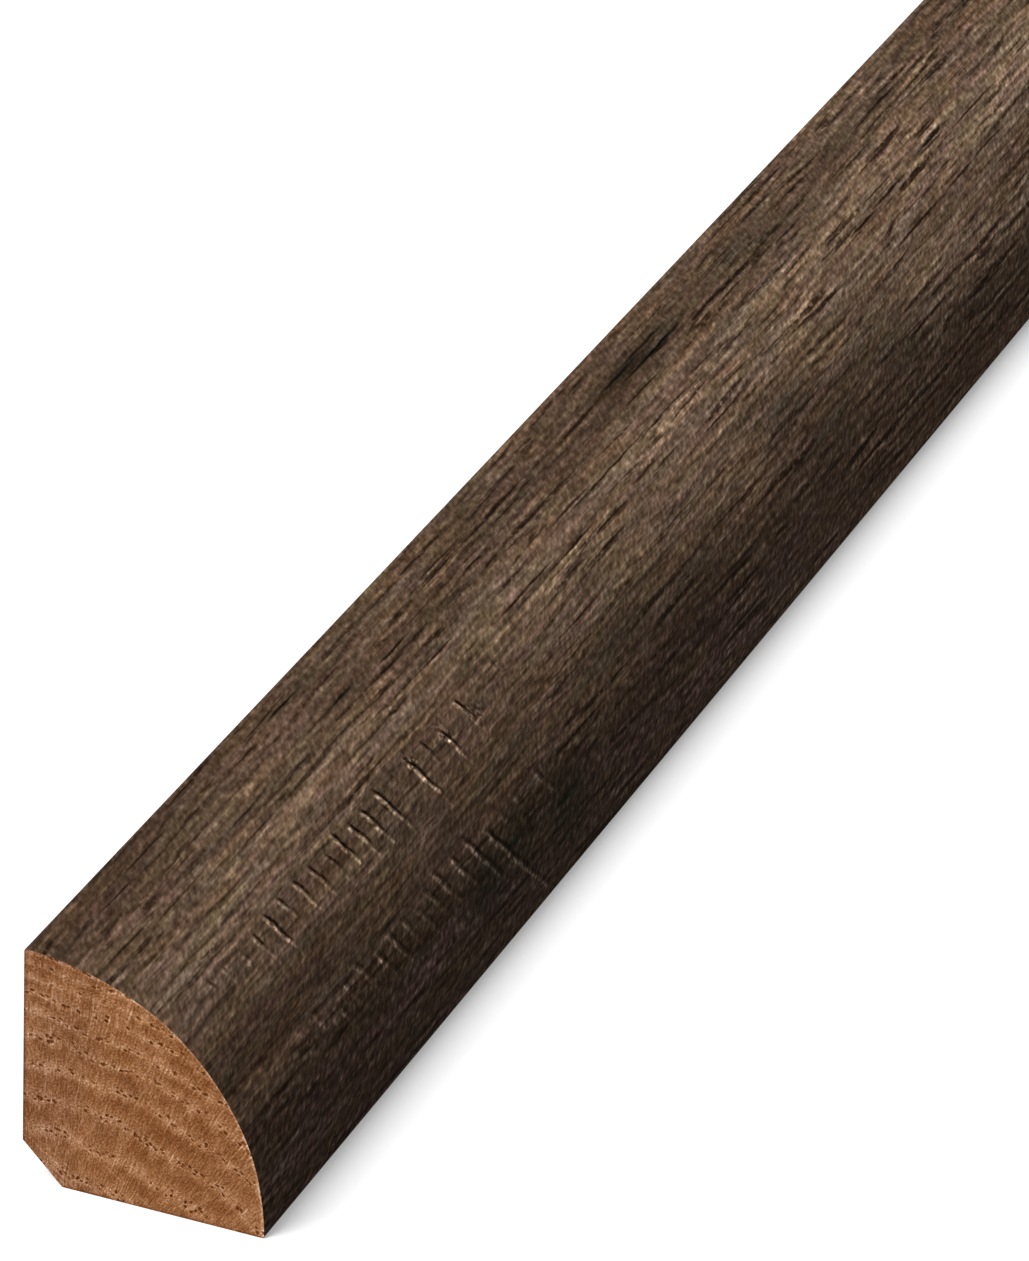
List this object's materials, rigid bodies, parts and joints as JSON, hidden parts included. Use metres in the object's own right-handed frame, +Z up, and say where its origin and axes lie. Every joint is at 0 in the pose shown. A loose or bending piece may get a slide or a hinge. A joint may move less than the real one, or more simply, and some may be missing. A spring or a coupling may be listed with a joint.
{
  "type": "hardwood quarter round",
  "caption": "Length of stained oak quarter round trim: quarter-circle show face, flat wall and floor faces, bevelled back corner, covers the joint between wall and floor.",
  "frame": {"origin": "on the floor face, at the middle of the strip's width and length", "axes": "+Y along the length, +Z up the wall, +X out from the wall into the room"},
  "size_m": [0.019, 1.9812, 0.0191],
  "materials": {
    "stained_oak": "dark brown stain over brushed and scraped oak, matt; bare oak on the sawn ends and on the hidden faces"
  },
  "bodies": {
    "root": {"quarter_round": "stained_oak"}
  },
  "joints": []
}
